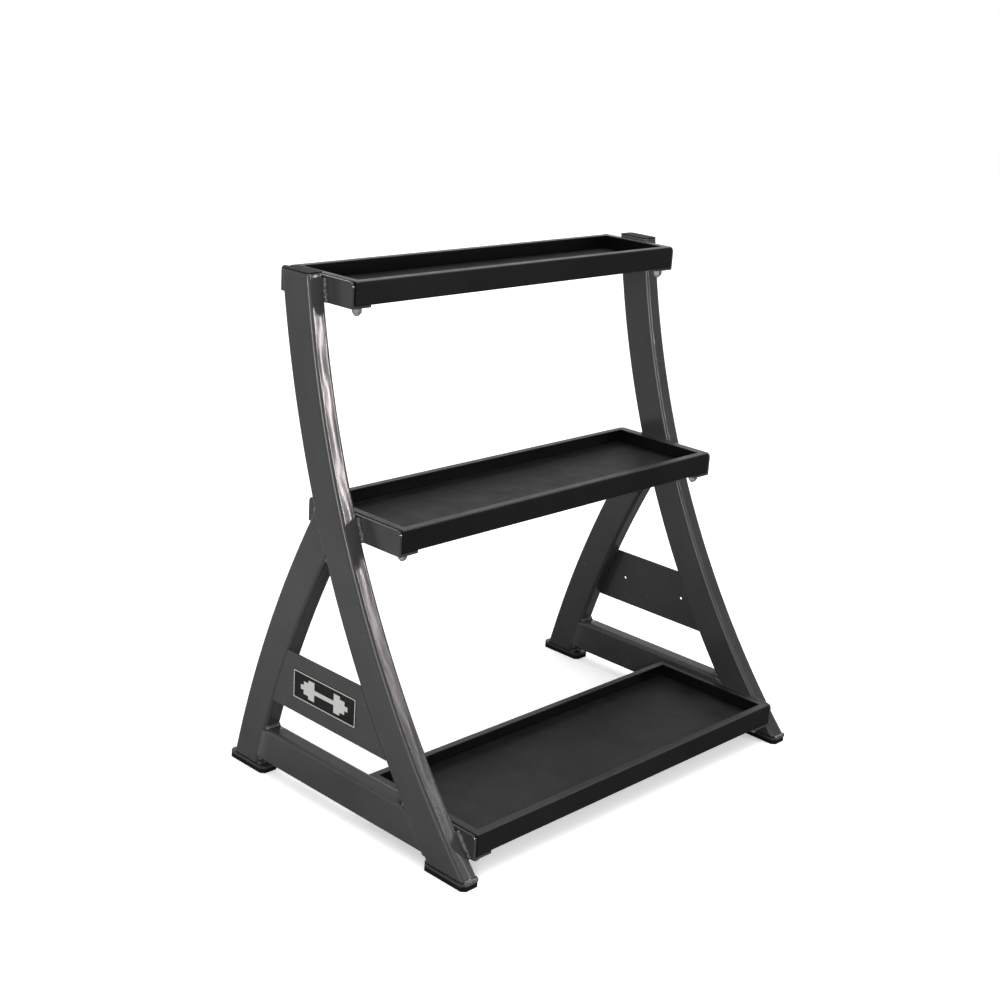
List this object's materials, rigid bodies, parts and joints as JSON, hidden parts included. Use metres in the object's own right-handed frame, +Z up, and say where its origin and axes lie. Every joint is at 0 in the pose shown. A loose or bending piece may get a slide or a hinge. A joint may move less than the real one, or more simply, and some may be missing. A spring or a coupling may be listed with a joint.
{
  "type": "dumbbell rack",
  "caption": "Free-standing dumbbell rack with bent tube side frames, gusset panels, rubber feet and open trays stepped back in tiers.",
  "frame": {"origin": "on the floor, at the centre of the footprint of the four foot pads", "axes": "+X across the width towards the frame without the badge, +Y from the front to the back, +Z up"},
  "size_m": [1.007, 0.7039, 1.052],
  "materials": {
    "frame_paint": "semi-gloss charcoal grey powder coat",
    "weld_paint": "semi-gloss charcoal grey powder coat over a rippled weld",
    "tray_paint": "satin black powder coat",
    "pad_rubber": "matt black rubber",
    "mat_rubber": "matt black rubber mat",
    "zinc": "bright zinc plate",
    "badge": "gloss black printed plate with a thin white border and a plain dumbbell sign"
  },
  "bodies": {
    "root": {"bottom_tray": "tray_paint", "bottom_tray_lock_nuts": "zinc", "bottom_tray_mat": "mat_rubber", "bottom_tray_studs": "zinc", "bottom_tray_washers": "zinc", "left_base_rail": "frame_paint", "left_bottom_bracket": "frame_paint", "left_frame_welds": "weld_paint", "left_front_foot_pad": "pad_rubber", "left_front_foot_plate": "frame_paint", "left_gusset_panel": "frame_paint", "left_middle_bracket": "frame_paint", "left_rear_foot_pad": "pad_rubber", "left_rear_foot_plate": "frame_paint", "left_rear_leg": "frame_paint", "left_top_bracket": "frame_paint", "left_top_cap": "frame_paint", "left_upright": "frame_paint", "middle_tray": "tray_paint", "middle_tray_lock_nuts": "zinc", "middle_tray_mat": "mat_rubber", "middle_tray_studs": "zinc", "middle_tray_washers": "zinc", "right_base_rail": "frame_paint", "right_bottom_bracket": "frame_paint", "right_frame_welds": "weld_paint", "right_front_foot_pad": "pad_rubber", "right_front_foot_plate": "frame_paint", "right_gusset_panel": "frame_paint", "right_middle_bracket": "frame_paint", "right_rear_foot_pad": "pad_rubber", "right_rear_foot_plate": "frame_paint", "right_rear_leg": "frame_paint", "right_top_bracket": "frame_paint", "right_top_cap": "frame_paint", "right_upright": "frame_paint", "side_badge": "badge", "top_tray": "tray_paint", "top_tray_lock_nuts": "zinc", "top_tray_mat": "mat_rubber", "top_tray_studs": "zinc", "top_tray_washers": "zinc"}
  },
  "joints": []
}
